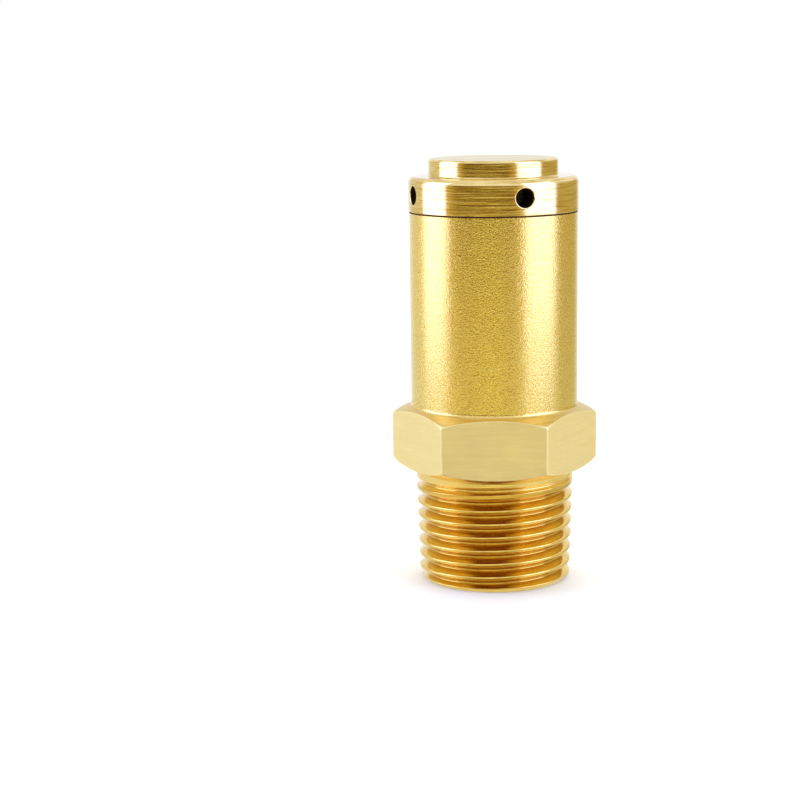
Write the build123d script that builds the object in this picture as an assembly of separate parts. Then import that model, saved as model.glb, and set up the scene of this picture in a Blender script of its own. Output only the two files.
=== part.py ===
from build123d import *

# Straight automatic air vent, brass, male R 1/2 taper thread, hexagon, round barrel and a stepped vent cap.
#
# A float in the barrel hangs from a lever.  With air in the barrel the float is down, the lever pulls the
# spring-loaded plug off the jet, and air leaves through the jet, round the hygroscopic discs and out of the
# radial holes in the cap.  When water lifts the float, the lever rises and the plug shuts the jet.
#
# Frame: millimetres, +Z up along the axis of the vent, origin at the centre of the threaded end's face.
# The lever swings in the XZ plane: its pivot pin is on the -X side and the float hangs on the +X side.
# Rest pose: dry, float down, valve open.
import math
import os

os.makedirs("parts", exist_ok=True)

# ------------------------------------------------------------------ driving dimensions
# overall heights along Z
Z_HEX_LOW = 15.6        # underside of the hexagon at the middle of a flat
Z_BARREL = 23.9         # barrel meets the hexagon's upper cone
Z_SEAM = 50.0           # cap seats on the barrel
Z_SHOULDER = 54.7       # shoulder of the cap
Z_TOP = 57.0            # top of the cap's central boss

# R 1/2 taper thread, ISO 7-1
PITCH = 25.4 / 14
GAUGE_R = 20.955 / 2    # crest radius in the gauge plane
GAUGE_Z = 8.2           # gauge plane above the end face
TAPER = 1 / 32          # radius per length, 1 in 16 on the diameter
THREAD_DEPTH = 1.162
FLANK_TAN = math.tan(math.radians(27.5))
ROOT_HALF = 0.15        # half the flat at the root
THREAD_START = -2.0     # centre of the groove where the helix crosses the +X axis, below the end face
THREAD_END = 13.0       # centre of the groove where it starts to run out
RUN_OUT = (2.6, 1.6)    # height over which the groove runs out, and how far its root climbs
THREAD_TOP = 14.55      # the plain collar starts here
NECK_R = 10.675         # collar between the thread and the hexagon's lower cone
TIP_R = 9.45            # outer edge of the end face
TIP_CHAMFER = 0.8

# body
HEX_AF = 24.0           # across flats, for a 24 mm spanner
HEX_CORNER_R = 0.35
CONE = math.tan(math.radians(23))
BARREL_R = 11.25
BORE_R = 8.15           # inlet bore through the thread
CHAMBER_R = 8.70        # float chamber
Z_LEDGE = 16.0          # ledge that carries the strainer
CAP_THREAD_R = 9.75     # fine thread between cap and barrel, drawn as a plain cylinder
SPIGOT_R = 9.72         # the cap's side of it
Z_CARRIER = 44.0        # ledge that carries the seat carrier
RING_GROOVE_R = 9.10
RING_GROOVE = (16.55, 17.20)

# cap
CAP_R = 11.40
CAP_EDGE_R = 0.8
BOSS_R = 8.70
BOSS_EDGE_R = 0.35
CAVITY_R = 7.90
BOSS_CAVITY_R = 6.60
Z_SPIGOT = 45.4
VENT_R = 1.25
VENT_Z = 52.35
VENT_COUNT = 4
VENT_START = -69.0      # degrees, first vent hole counted from +X

# seat carrier and jet
FLANGE_R = 9.60
SKIRT_R = 8.60
Z_SKIRT = 41.4
CHEEK_IN, CHEEK_OUT = 2.40, 3.50
CHEEK_X = (-6.6, 2.2)
Z_CHEEK = 33.6
BRIDGE_Z = (35.95, 37.10)
TOWER_R, TOWER_IN = 6.00, 4.40
Z_TOWER = 51.2
JET_R = 2.00
JET_HEAD_R = 3.0
JET_LIP_Z = 41.0
ORIFICE_R = 0.30

# plug, lever and float
STEM_R = 0.80
PLUG_HEAD_R = 1.90
PLUG_TRAVEL = 1.0
PIVOT = (-5.0, 34.9)    # x, z
PIN_R = 0.50
LEVER_T = 0.60
LEVER_REST = -7.5       # degrees at rest, +X end down
LEVER_SWING = 11.5      # degrees from open to shut
HANG_X = 5.5            # where the float hangs on the lever
FLOAT_TRAVEL = 2.1
FLOAT_R = 8.10
RIB_R = 8.40
FLOAT_Z = (17.4, 31.0)

DISC_R, DISC_T, DISC_COUNT = 6.30, 0.85, 4
STRAINER_R, STRAINER_T = 8.60, 0.50


# ------------------------------------------------------------------ helpers
def turned(points):
    """Solid of revolution about Z of a closed outline of (r, z) points."""
    face = make_face(Plane.XZ * Polyline(*points, close=True))
    return revolve(face, Axis.Z, 360)


def rod(r, z0, z1, x=0.0, y=0.0):
    return Pos(x, y, z0) * Cylinder(r, z1 - z0, align=(Align.CENTER, Align.CENTER, Align.MIN))


def ring(r_in, r_out, z0, z1):
    return rod(r_out, z0, z1) - rod(r_in, z0 - 1, z1 + 1)


def block(x0, x1, y0, y1, z0, z1):
    return Pos((x0 + x1) / 2, (y0 + y1) / 2, (z0 + z1) / 2) * Box(x1 - x0, y1 - y0, z1 - z0)


def bar_y(r, x, z, y0, y1):
    """Round bar along Y."""
    return Pos(x, (y0 + y1) / 2, z) * Rot(90, 0, 0) * Cylinder(r, y1 - y0)


def o_ring(r_mid, section, z):
    return Pos(0, 0, z) * Torus(r_mid, section)


def arc_points(cx, cz, r, a0, a1, n=8):
    return [(cx + r * math.cos(math.radians(a0 + (a1 - a0) * i / n)),
             cz + r * math.sin(math.radians(a0 + (a1 - a0) * i / n))) for i in range(n + 1)]


def crest_r(z):
    return GAUGE_R + (z - GAUGE_Z) * TAPER


def save(shape, name):
    solids = shape.solids()
    out = solids[0] if len(solids) == 1 else Compound(children=[Solid(s.wrapped) for s in solids])
    export_step(out, f"parts/{name}.step")
    print(f"{name:20s} solids {len(solids)}  volume {sum(s.volume for s in solids):9.2f} mm3")


# ------------------------------------------------------------------ valve body
def groove(z0, z1, climb=0.0):
    """Helical V groove of the pipe thread between two heights; climb lifts its root towards the crests by the end."""
    turn = 2 * math.pi * (z0 - THREAD_START) / PITCH
    slope = TAPER + climb / (z1 - z0)
    path = Rot(0, 0, math.degrees(turn)) * Helix(PITCH, z1 - z0, crest_r(z0) - THREAD_DEPTH, center=(0, 0, z0),
                                                 cone_angle=math.degrees(math.atan(slope)))
    top = THREAD_DEPTH + 0.2
    half = ROOT_HALF + top * FLANK_TAN
    plane = Plane(origin=path @ 0, x_dir=(math.cos(turn), math.sin(turn), 0), z_dir=path % 0)
    section = make_face(plane * Polyline((0, -ROOT_HALF), (top, -half), (top, half), (0, ROOT_HALF), close=True))
    return sweep(section, path, is_frenet=True)


def threaded_end(z_top):
    """Tapered bar with the groove cut in it, then faced at both ends and chamfered at the tip."""
    bar = turned([(0, 0), (crest_r(0), 0), (crest_r(z_top + 1), z_top + 1), (0, z_top + 1)])
    bar -= groove(THREAD_START, THREAD_END + 0.15)
    bar -= groove(THREAD_END, THREAD_END + RUN_OUT[0], RUN_OUT[1])
    trim = turned([(0, -1), (TIP_R - 0.2, -1), (TIP_R, 0), (crest_r(TIP_CHAMFER) + 0.02, TIP_CHAMFER + 0.02),
                   (NECK_R + 1, TIP_CHAMFER + 0.5), (NECK_R + 1, z_top), (0, z_top)])
    return bar & trim


def valve_body():
    # turned outline above the thread, hexagon left out
    neck_z = Z_HEX_LOW - (HEX_AF / 2 - NECK_R) * CONE
    thread = threaded_end(THREAD_TOP)
    blank = turned([
        (0, THREAD_TOP), (NECK_R, THREAD_TOP), (NECK_R, Z_BARREL), (BARREL_R, Z_BARREL), (BARREL_R, Z_SEAM - 0.12),
        (BARREL_R - 0.12, Z_SEAM), (0, Z_SEAM),
    ])
    # hexagon, turned at both ends to 23 degree cones
    corner = HEX_AF / 2 / math.cos(math.radians(30))
    hexagon = make_face(Polyline(*[(corner * math.cos(math.radians(60 * i)), corner * math.sin(math.radians(60 * i)))
                                   for i in range(6)], close=True))
    hexagon = fillet(hexagon.vertices(), HEX_CORNER_R)
    prism = Pos(0, 0, neck_z - 0.5) * extrude(hexagon, Z_BARREL + 1 - neck_z)
    far = corner + 1
    cones = turned([
        (0, neck_z), (NECK_R, neck_z), (far, neck_z + (far - NECK_R) * CONE), (far, Z_BARREL - (far - BARREL_R) * CONE), (BARREL_R + 0.35, Z_BARREL - 0.35 * CONE),
        (BARREL_R + 0.12, Z_BARREL + 0.06), (BARREL_R, Z_BARREL + 0.35), (0, Z_BARREL + 0.35),
    ])
    body = thread + blank + (prism & cones)
    # bores from below and above
    body -= turned([
        (0, -1), (BORE_R + 0.25, -1), (BORE_R + 0.25, 0), (BORE_R, 0.25), (BORE_R, Z_LEDGE), (CHAMBER_R, Z_LEDGE),
        (CHAMBER_R, RING_GROOVE[0]), (RING_GROOVE_R, RING_GROOVE[0]), (RING_GROOVE_R, RING_GROOVE[1]),
        (CHAMBER_R, RING_GROOVE[1]), (CHAMBER_R, Z_CARRIER - 0.25), (CHAMBER_R + 0.25, Z_CARRIER),
        (CAP_THREAD_R, Z_CARRIER), (CAP_THREAD_R, Z_SEAM - 0.3), (CAP_THREAD_R + 0.3, Z_SEAM), (CAP_THREAD_R + 0.3, Z_SEAM + 1), (0, Z_SEAM + 1),
    ])
    return body


# ------------------------------------------------------------------ vent cap
def vent_cap():
    outline = [(CAVITY_R, Z_SPIGOT), (SPIGOT_R - 0.3, Z_SPIGOT), (SPIGOT_R, Z_SPIGOT + 0.3), (SPIGOT_R, Z_SEAM),
               (CAP_R - 0.12, Z_SEAM), (CAP_R, Z_SEAM + 0.12)]
    outline += arc_points(CAP_R - CAP_EDGE_R, Z_SHOULDER - CAP_EDGE_R, CAP_EDGE_R, 0, 90)
    outline += [(BOSS_R + 0.2, Z_SHOULDER), (BOSS_R, Z_SHOULDER + 0.2)]
    outline += arc_points(BOSS_R - BOSS_EDGE_R, Z_TOP - BOSS_EDGE_R, BOSS_EDGE_R, 0, 90, 6)
    outline += [(0, Z_TOP), (0, 55.4), (BOSS_CAVITY_R, 55.4), (BOSS_CAVITY_R, 54.6), (CAVITY_R, 53.75)]
    cap = turned(outline)
    for i in range(VENT_COUNT):
        cap -= Rot(0, 0, VENT_START + 360 * i / VENT_COUNT) * (Pos(BOSS_R, 0, VENT_Z) * Rot(0, 90, 0) * Cylinder(VENT_R, 8))
    return cap


# ------------------------------------------------------------------ seat carrier, jet, seals
def seat_carrier():
    groove_in, g0, g1 = 7.60, 42.10, 43.40
    part = turned([(0, Z_SKIRT), (SKIRT_R - 0.2, Z_SKIRT), (SKIRT_R, Z_SKIRT + 0.2), (SKIRT_R, g0), (groove_in, g0), (groove_in, g1), (SKIRT_R, g1),
                   (SKIRT_R, Z_CARRIER), (FLANGE_R, Z_CARRIER), (FLANGE_R, Z_SPIGOT), (0, Z_SPIGOT)])
    # castellated tower that carries the discs
    tower = ring(TOWER_IN, TOWER_R, Z_SPIGOT, Z_TOWER)
    for i in range(4):
        tower -= Rot(0, 0, VENT_START + 45 + 90 * i) * block(3, 8, -1.1, 1.1, 46.6, Z_TOWER + 1)
    part += tower
    # cheeks for the pivot pin, and the bridge that guides the stem
    for s in (-1, 1):
        y0, y1 = sorted((s * CHEEK_IN, s * CHEEK_OUT))
        cheek = block(CHEEK_X[0], CHEEK_X[1], y0, y1, Z_CHEEK, Z_SKIRT)
        # relieved below the bridge on the +X side
        cheek -= block(-2.9, CHEEK_X[1] + 1, y0 - 1, y1 + 1, Z_CHEEK - 1, BRIDGE_Z[0] - 0.0)
        part += cheek
    part += block(-2.2, CHEEK_X[1], -CHEEK_IN, CHEEK_IN, *BRIDGE_Z)
    part -= rod(STEM_R + 0.08, BRIDGE_Z[0] - 1, BRIDGE_Z[1] + 0.5)
    part -= rod(JET_R, Z_SKIRT - 1, Z_SPIGOT + 1)
    part -= bar_y(PIN_R, PIVOT[0], PIVOT[1], -5, 5)
    return part


def orifice_jet():
    g0, g1, g_r = 43.15, 43.85, 1.44
    jet = turned([(0, JET_LIP_Z), (1.0, JET_LIP_Z), (1.25, 41.55), (JET_R, 41.55), (JET_R, g0), (g_r, g0), (g_r, g1), (JET_R, g1),
                  (JET_R, Z_SPIGOT), (JET_HEAD_R, Z_SPIGOT), (JET_HEAD_R, 46.2), (JET_HEAD_R - 0.2, 46.4), (0, 46.4)])
    jet -= rod(ORIFICE_R, 40, 47)
    jet -= turned([(0, 42.6), (ORIFICE_R, 42.6), (0.9, 43.2), (0.9, 47), (0, 47)])
    # screwdriver slot in the head
    jet -= block(-4, 4, -0.4, 0.4, 45.9, 47)
    return jet


# ------------------------------------------------------------------ plug, lever, float
Z_HEAD = 38.7           # underside of the plug's head at rest
CLIP_Z = (33.10, 33.70)


def valve_plug():
    return turned([(0, 32.7), (STEM_R - 0.15, 32.7), (STEM_R, 32.85), (STEM_R, CLIP_Z[0]), (0.55, CLIP_Z[0]), (0.55, CLIP_Z[1]), (STEM_R, CLIP_Z[1]),
                   (STEM_R, Z_HEAD), (PLUG_HEAD_R, Z_HEAD), (PLUG_HEAD_R, 39.85), (1.45, 39.85), (1.45, 39.3), (0, 39.3)])


def plug_pad():
    return turned([(0, 39.3), (1.45, 39.3), (1.45, 39.85), (1.30, 39.98), (0, 39.98)])


def stem_clip():
    clip = ring(0.55, 1.5, *CLIP_Z)
    clip -= block(0, 2, -0.5, 0.5, 33, 34)
    return clip


def closing_spring():
    wire, mean, z0, z1 = 0.15, 1.30, BRIDGE_Z[1], Z_HEAD
    path = Helix((z1 - z0 - 2 * wire) / 3.25, z1 - z0 - 2 * wire, mean, center=(0, 0, z0 + wire))
    plane = Plane(origin=path @ 0, x_dir=(1, 0, 0), z_dir=path % 0)
    return sweep(plane * Circle(wire - 0.005), path, is_frenet=True)


def lever():
    """Stamped strip with a rolled eye, drawn level through the pivot and then turned to its rest angle."""
    px, pz = PIVOT
    h = LEVER_T / 2
    strip = make_face(Polyline((px, -2.0), (2.6, -2.0), (4.4, -1.55), (7.1, -1.55), (7.1, 1.55), (4.4, 1.55), (2.6, 2.0), (px, 2.0), close=True))
    part = Pos(0, 0, pz - h) * extrude(strip, LEVER_T)
    part -= Pos(0, 0, pz - 1) * extrude(SlotOverall(3.2, 2.1), 2)
    part += bar_y(PIN_R + 0.05 + 0.45, px, pz, -2.0, 2.0)
    part -= bar_y(PIN_R + 0.05, px, pz, -4, 4)
    return Pos(px, 0, pz) * Rot(0, -LEVER_REST, 0) * Pos(-px, 0, -pz) * part


def float_cup():
    z0, z1 = FLOAT_Z[0], FLOAT_Z[1] - 0.8
    cup = turned([(0, z0 + 0.4), (3.0, z0 + 0.3), (6.6, z0), (7.3, z0), (FLOAT_R, z0 + 0.8), (FLOAT_R, z1), (FLOAT_R - 0.7, z1),
                  (FLOAT_R - 0.7, z0 + 1.1), (7.0, z0 + 0.8), (6.6, z0 + 0.8), (3.0, z0 + 1.1), (0, z0 + 1.2)])
    for i in range(6):
        cup += Rot(0, 0, 30 + 60 * i) * block(FLOAT_R - 0.3, RIB_R, -0.45, 0.45, z0 + 1.2, z1)
    for i in range(3):
        cup += rod(0.9, Z_LEDGE + STRAINER_T + 0.05, z0 + 0.35, *[6.0 * f(math.radians(30 + 120 * i)) for f in (math.cos, math.sin)])
    return cup


def float_lid():
    z0, z1 = FLOAT_Z[1] - 0.8, FLOAT_Z[1]
    lid = turned([(0, z0), (FLOAT_R, z0), (FLOAT_R, z1 - 0.2), (FLOAT_R - 0.2, z1), (0, z1)])
    # locating spigot inside the cup
    lid += ring(FLOAT_R - 1.4, FLOAT_R - 0.72, z0 - 0.7, z0 + 0.1)
    # lifting post under the lever, and two sockets for the hanger's legs
    lid += block(HANG_X - 0.7, HANG_X + 0.7, -1.3, 1.3, z1 - 0.1, 33.0)
    for s in (-1, 1):
        lid += rod(0.85, z1 - 0.1, 32.3, HANG_X, s * 2.55)
        lid -= rod(0.31, z1 - 0.4, 33.5, HANG_X, s * 2.55)
    lid += block(HANG_X - 0.35, HANG_X + 0.35, -2.0, 2.0, z1 - 0.1, 32.1)
    return lid


def float_hanger():
    """Stainless wire staple over the lever's end."""
    z_bar, y, r, z_foot, bend = 34.25, 2.55, 0.30, FLOAT_Z[1] - 0.38, 0.8
    path = FilletPolyline((HANG_X, -y, z_foot), (HANG_X, -y, z_bar), (HANG_X, y, z_bar), (HANG_X, y, z_foot), radius=bend)
    return sweep(Plane(origin=path @ 0, z_dir=path % 0) * Circle(r), path)


# ------------------------------------------------------------------ strainer and discs
def strainer_disc():
    disc = rod(STRAINER_R, Z_LEDGE, Z_LEDGE + STRAINER_T)
    holes = [(0.0, 0.0)]
    for count, radius, turn in ((6, 2.75, 0.0), (12, 5.5, 15.0)):
        holes += [(radius * math.cos(math.radians(turn + 360 * i / count)), radius * math.sin(math.radians(turn + 360 * i / count))) for i in range(count)]
    for x, y in holes:
        disc -= rod(0.95, Z_LEDGE - 1, Z_LEDGE + 1, x, y)
    return disc


def strainer_snap_ring():
    clip = ring(7.75, 9.0, RING_GROOVE[0] + 0.02, RING_GROOVE[1] - 0.02)
    clip -= Rot(0, 0, 90) * block(5, 12, -2.2, 2.2, 16, 18)
    return clip


def hygroscopic_disc(i):
    z0 = Z_TOWER + i * (DISC_T + 0.02)
    return ring(0.8, DISC_R, z0, z0 + DISC_T)


def main():
    save(valve_body(), "valve_body")
    save(vent_cap(), "vent_cap")
    save(seat_carrier(), "seat_carrier")
    save(o_ring(8.15, 0.55, 42.75), "carrier_o_ring")
    save(orifice_jet(), "orifice_jet")
    save(o_ring(1.72, 0.28, 43.5), "jet_o_ring")
    save(valve_plug(), "valve_plug")
    save(plug_pad(), "plug_pad")
    save(stem_clip(), "stem_clip")
    save(closing_spring(), "closing_spring")
    save(lever(), "lever")
    save(bar_y(PIN_R, PIVOT[0], PIVOT[1], -CHEEK_OUT, CHEEK_OUT), "lever_pivot_pin")
    save(float_cup(), "float_cup")
    save(float_lid(), "float_lid")
    save(float_hanger(), "float_hanger")
    save(strainer_disc(), "strainer_disc")
    save(strainer_snap_ring(), "strainer_snap_ring")
    for i in range(DISC_COUNT):
        save(hygroscopic_disc(i), f"hygroscopic_disc_{i + 1}")


main()
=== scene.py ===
import math

import bpy
import numpy as np
from mathutils import Matrix, Vector


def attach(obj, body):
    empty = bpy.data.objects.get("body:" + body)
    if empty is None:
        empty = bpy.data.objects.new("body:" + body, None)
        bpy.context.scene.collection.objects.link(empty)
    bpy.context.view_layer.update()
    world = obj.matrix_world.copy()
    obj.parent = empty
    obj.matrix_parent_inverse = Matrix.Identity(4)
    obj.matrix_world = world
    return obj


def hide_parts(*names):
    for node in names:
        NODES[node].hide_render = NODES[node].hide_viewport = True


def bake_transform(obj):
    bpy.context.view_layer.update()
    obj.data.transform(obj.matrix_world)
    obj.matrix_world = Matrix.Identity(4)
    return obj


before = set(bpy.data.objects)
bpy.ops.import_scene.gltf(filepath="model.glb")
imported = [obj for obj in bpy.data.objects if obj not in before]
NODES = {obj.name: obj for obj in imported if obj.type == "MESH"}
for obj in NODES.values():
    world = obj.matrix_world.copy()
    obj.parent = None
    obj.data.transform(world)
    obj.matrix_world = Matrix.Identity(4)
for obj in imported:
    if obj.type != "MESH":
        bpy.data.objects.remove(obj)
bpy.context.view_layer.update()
MM = 0.001

# ------------------------------------------------------------------ sizes in millimetres, the same as the CAD
Z_HEX_LOW, Z_BARREL, Z_SEAM, Z_SHOULDER, Z_TOP = 15.6, 23.9, 50.0, 54.7, 57.0
PITCH = 25.4 / 14
GAUGE_R, GAUGE_Z, TAPER = 20.955 / 2, 8.2, 1 / 32
THREAD_DEPTH, FLANK_TAN, ROOT_HALF, THREAD_START = 1.162, math.tan(math.radians(27.5)), 0.15, -2.0
THREAD_END, RUN_OUT = 13.0, (2.6, 1.6)
NECK_R, TIP_R = 10.691, 9.45
HEX_AF, HEX_CORNER_R, CONE = 24.0, 0.35, math.tan(math.radians(23))
BARREL_R, BORE_R, CHAMBER_R, Z_LEDGE, CAP_THREAD_R, Z_CARRIER = 11.25, 8.15, 8.70, 16.0, 9.75, 44.0
SPIGOT_R = 9.72
RING_GROOVE_R, RING_GROOVE = 9.10, (16.55, 17.20)
CAP_R, CAP_EDGE_R, BOSS_R, BOSS_EDGE_R, CAVITY_R, BOSS_CAVITY_R, Z_SPIGOT = 11.40, 0.8, 8.70, 0.35, 7.90, 6.60, 45.4
VENT_R, VENT_Z, VENT_COUNT, VENT_START = 1.25, 52.35, 4, -69.0


# ------------------------------------------------------------------ mesh helpers
def build(name, verts, faces, mats, face_mat=None, attrs=None):
    """Mesh object from millimetre points; faces are tuples or one array of quads; its normals are turned outwards."""
    verts = np.asarray(verts, float) * MM
    faces = [tuple(int(i) for i in f) for f in faces]
    vol = 0.0
    for f in faces:
        a = verts[f[0]]
        for k in range(1, len(f) - 1):
            b, c = verts[f[k]], verts[f[k + 1]]
            vol += (a[0] * (b[1] * c[2] - b[2] * c[1]) - a[1] * (b[0] * c[2] - b[2] * c[0]) + a[2] * (b[0] * c[1] - b[1] * c[0]))
    if vol < 0:
        faces = [f[::-1] for f in faces]
    mesh = bpy.data.meshes.new(name)
    mesh.from_pydata(verts.tolist(), [], faces)
    for m in mats:
        mesh.materials.append(m)
    if face_mat is not None:
        mesh.polygons.foreach_set("material_index", np.asarray(face_mat, np.int32))
    mesh.polygons.foreach_set("use_smooth", np.ones(len(faces), bool))
    for key, values in (attrs or {}).items():
        mesh.attributes.new(key, "FLOAT", "POINT").data.foreach_set("value", np.asarray(values, np.float32))
    mesh.update()
    obj = bpy.data.objects.new(name, mesh)
    bpy.context.scene.collection.objects.link(obj)
    return obj


def ring_quads(base, nxt, count):
    """Quads between two rings of count points that start at base and nxt."""
    j = np.arange(count)
    k = (j + 1) % count
    return np.stack([base + j, base + k, nxt + k, nxt + j], 1)


def fillet_rows(p0, p1, p2, radius, n):
    """Arc of n+1 (r, z) rows that rounds the corner p1 of the path p0-p1-p2; each point is a pair of arrays over the columns."""
    a = np.stack(np.broadcast_arrays(*p0), -1) - np.stack(np.broadcast_arrays(*p1), -1)
    b = np.stack(np.broadcast_arrays(*p2), -1) - np.stack(np.broadcast_arrays(*p1), -1)
    c = np.stack(np.broadcast_arrays(*p1), -1)
    a = a / np.linalg.norm(a, axis=-1, keepdims=True)
    b = b / np.linalg.norm(b, axis=-1, keepdims=True)
    half = np.arccos(np.clip((a * b).sum(-1), -1, 1)) / 2
    t = (radius / np.tan(half))[..., None]
    bis = (a + b) / np.linalg.norm(a + b, axis=-1, keepdims=True)
    centre = c + bis * (radius / np.sin(half))[..., None]
    s, e = c + a * t - centre, c + b * t - centre
    total = math.pi - 2 * half
    rows = []
    for i in range(n + 1):
        w = i / n
        v = (np.sin((1 - w) * total)[..., None] * s + np.sin(w * total)[..., None] * e) / np.sin(total)[..., None]
        p = centre + v
        rows.append((p[..., 0], p[..., 1]))
    return rows


def arc(cx, cz, r, a0, a1, n):
    return [(cx + r * math.cos(math.radians(a0 + (a1 - a0) * i / n)), cz + r * math.sin(math.radians(a0 + (a1 - a0) * i / n))) for i in range(n + 1)]


# ------------------------------------------------------------------ materials
def material(name):
    m = bpy.data.materials.new(name)
    m.use_nodes = True
    nt = m.node_tree
    nt.nodes.clear()
    out = nt.nodes.new("ShaderNodeOutputMaterial")
    bsdf = nt.nodes.new("ShaderNodeBsdfPrincipled")
    nt.links.new(bsdf.outputs[0], out.inputs[0])
    return m, nt, bsdf


def math_node(nt, op, a, b=None, c=None, clamp=False):
    n = nt.nodes.new("ShaderNodeMath")
    n.operation = op
    n.use_clamp = clamp
    for i, v in enumerate((a, b, c)):
        if v is None:
            continue
        if isinstance(v, (int, float)):
            n.inputs[i].default_value = v
        else:
            nt.links.new(v, n.inputs[i])
    return n.outputs[0]


def noise(nt, vector, scale, detail=2.0, rough=0.5, distortion=0.0):
    n = nt.nodes.new("ShaderNodeTexNoise")
    n.inputs["Scale"].default_value = scale
    n.inputs["Detail"].default_value = detail
    n.inputs["Roughness"].default_value = rough
    n.inputs["Distortion"].default_value = distortion
    nt.links.new(vector, n.inputs["Vector"])
    return n.outputs["Fac"]


def ramp(nt, fac, stops):
    """stops: (position, colour or value)."""
    n = nt.nodes.new("ShaderNodeValToRGB")
    while len(n.color_ramp.elements) < len(stops):
        n.color_ramp.elements.new(0.5)
    for e, (pos, col) in zip(n.color_ramp.elements, stops):
        e.position = pos
        e.color = (col, col, col, 1) if isinstance(col, (int, float)) else (*col, 1)
    nt.links.new(fac, n.inputs[0])
    return n.outputs[0]


def mix_rgb(nt, fac, a, b, mode="MIX"):
    n = nt.nodes.new("ShaderNodeMix")
    n.data_type = "RGBA"
    n.blend_type = mode
    for sock, v in ((n.inputs[0], fac), (n.inputs[6], a), (n.inputs[7], b)):
        if isinstance(v, (int, float)):
            sock.default_value = v
        elif isinstance(v, tuple):
            sock.default_value = (*v, 1)
        else:
            nt.links.new(v, sock)
    return n.outputs[2]


def map_range(nt, v, a, b, c, d, smooth=False):
    n = nt.nodes.new("ShaderNodeMapRange")
    n.interpolation_type = "SMOOTHSTEP" if smooth else "LINEAR"
    nt.links.new(v, n.inputs[0])
    for i, x in enumerate((a, b, c, d)):
        n.inputs[i + 1].default_value = x
    return n.outputs[0]


def coords(nt):
    """Object coordinates in millimetres: vector, x, y, z, radius from the axis."""
    tc = nt.nodes.new("ShaderNodeTexCoord")
    sc = nt.nodes.new("ShaderNodeVectorMath")
    sc.operation = "SCALE"
    sc.inputs[3].default_value = 1000.0
    nt.links.new(tc.outputs["Object"], sc.inputs[0])
    sep = nt.nodes.new("ShaderNodeSeparateXYZ")
    nt.links.new(sc.outputs[0], sep.inputs[0])
    x, y, z = sep.outputs
    r = math_node(nt, "SQRT", math_node(nt, "ADD", math_node(nt, "MULTIPLY", x, x), math_node(nt, "MULTIPLY", y, y)))
    return sc.outputs[0], x, y, z, r


def combine(nt, x, y, z):
    n = nt.nodes.new("ShaderNodeCombineXYZ")
    for i, v in enumerate((x, y, z)):
        if isinstance(v, (int, float)):
            n.inputs[i].default_value = v
        else:
            nt.links.new(v, n.inputs[i])
    return n.outputs[0]


def bump(nt, bsdf, height, strength, distance_mm, chain=None):
    n = nt.nodes.new("ShaderNodeBump")
    n.inputs["Strength"].default_value = strength
    n.inputs["Distance"].default_value = distance_mm * MM
    nt.links.new(height, n.inputs["Height"])
    if chain is not None:
        nt.links.new(chain, n.inputs["Normal"])
    nt.links.new(n.outputs[0], bsdf.inputs["Normal"])
    return n.outputs[0]


def attribute(nt, name):
    n = nt.nodes.new("ShaderNodeAttribute")
    n.attribute_name = name
    return n.outputs["Fac"]


def lathe_lines(nt, x, y, z, r, across):
    """Coordinates whose noise runs in rings round the axis, on walls and on faces alike."""
    return combine(nt, math_node(nt, "MULTIPLY", x, across), math_node(nt, "MULTIPLY", y, across), math_node(nt, "ADD", z, r))


def brass_blasted():
    m, nt, b = material("brass_blasted")
    v, x, y, z, r = coords(nt)
    b.inputs["Metallic"].default_value = 1.0
    grain = noise(nt, v, 4.4, 1.0, 0.5)
    fleck = noise(nt, v, 6.6, 0.0, 0.5)
    broad = noise(nt, v, 0.22, 3.0, 0.6)
    col = ramp(nt, grain, [(0.34, (0.92, 0.70, 0.20)), (0.50, (0.98, 0.79, 0.28)), (0.66, (1.0, 0.87, 0.38))])
    col = mix_rgb(nt, map_range(nt, fleck, 0.36, 0.54, 0.62, 0.0), col, (0.70, 0.47, 0.10))
    col = mix_rgb(nt, map_range(nt, broad, 0.35, 0.70, 0.0, 0.25), col, (0.88, 0.69, 0.29))
    nt.links.new(col, b.inputs["Base Color"])
    nt.links.new(map_range(nt, fleck, 0.3, 0.7, 0.19, 0.29), b.inputs["Roughness"])
    n1 = bump(nt, b, grain, 0.55, 0.028)
    bump(nt, b, fleck, 0.55, 0.024, n1)
    return m


def brass_turned(name, base, dark, rough=(0.14, 0.26), scale=4.6, across=0.13, depth=0.012, contrast=(0.36, 0.60)):
    """Lathe-turned brass: fine broken rings round the axis."""
    m, nt, b = material(name)
    v, x, y, z, r = coords(nt)
    b.inputs["Metallic"].default_value = 1.0
    lines = lathe_lines(nt, x, y, z, r, across)
    fine = noise(nt, lines, scale, 3.0, 0.7)
    coarse = noise(nt, lines, scale * 0.35, 2.0, 0.5)
    grain = noise(nt, v, 6.0, 2.0, 0.6)
    patch = noise(nt, v, 0.35, 3.0, 0.6)
    col = ramp(nt, fine, [(contrast[0], dark), (contrast[1], base)])
    col = mix_rgb(nt, map_range(nt, patch, 0.4, 0.7, 0.0, 0.12), col, dark)
    edge = attribute(nt, "edge")
    col = mix_rgb(nt, math_node(nt, "MULTIPLY", edge, 0.6), col, (1.0, 0.88, 0.52))
    nt.links.new(col, b.inputs["Base Color"])
    nt.links.new(map_range(nt, coarse, 0.3, 0.7, rough[0], rough[1]), b.inputs["Roughness"])
    n1 = bump(nt, b, fine, 0.6, depth)
    n2 = bump(nt, b, coarse, 0.5, depth * 1.6, n1)
    bump(nt, b, grain, 0.25, depth, n2)
    return m


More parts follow.
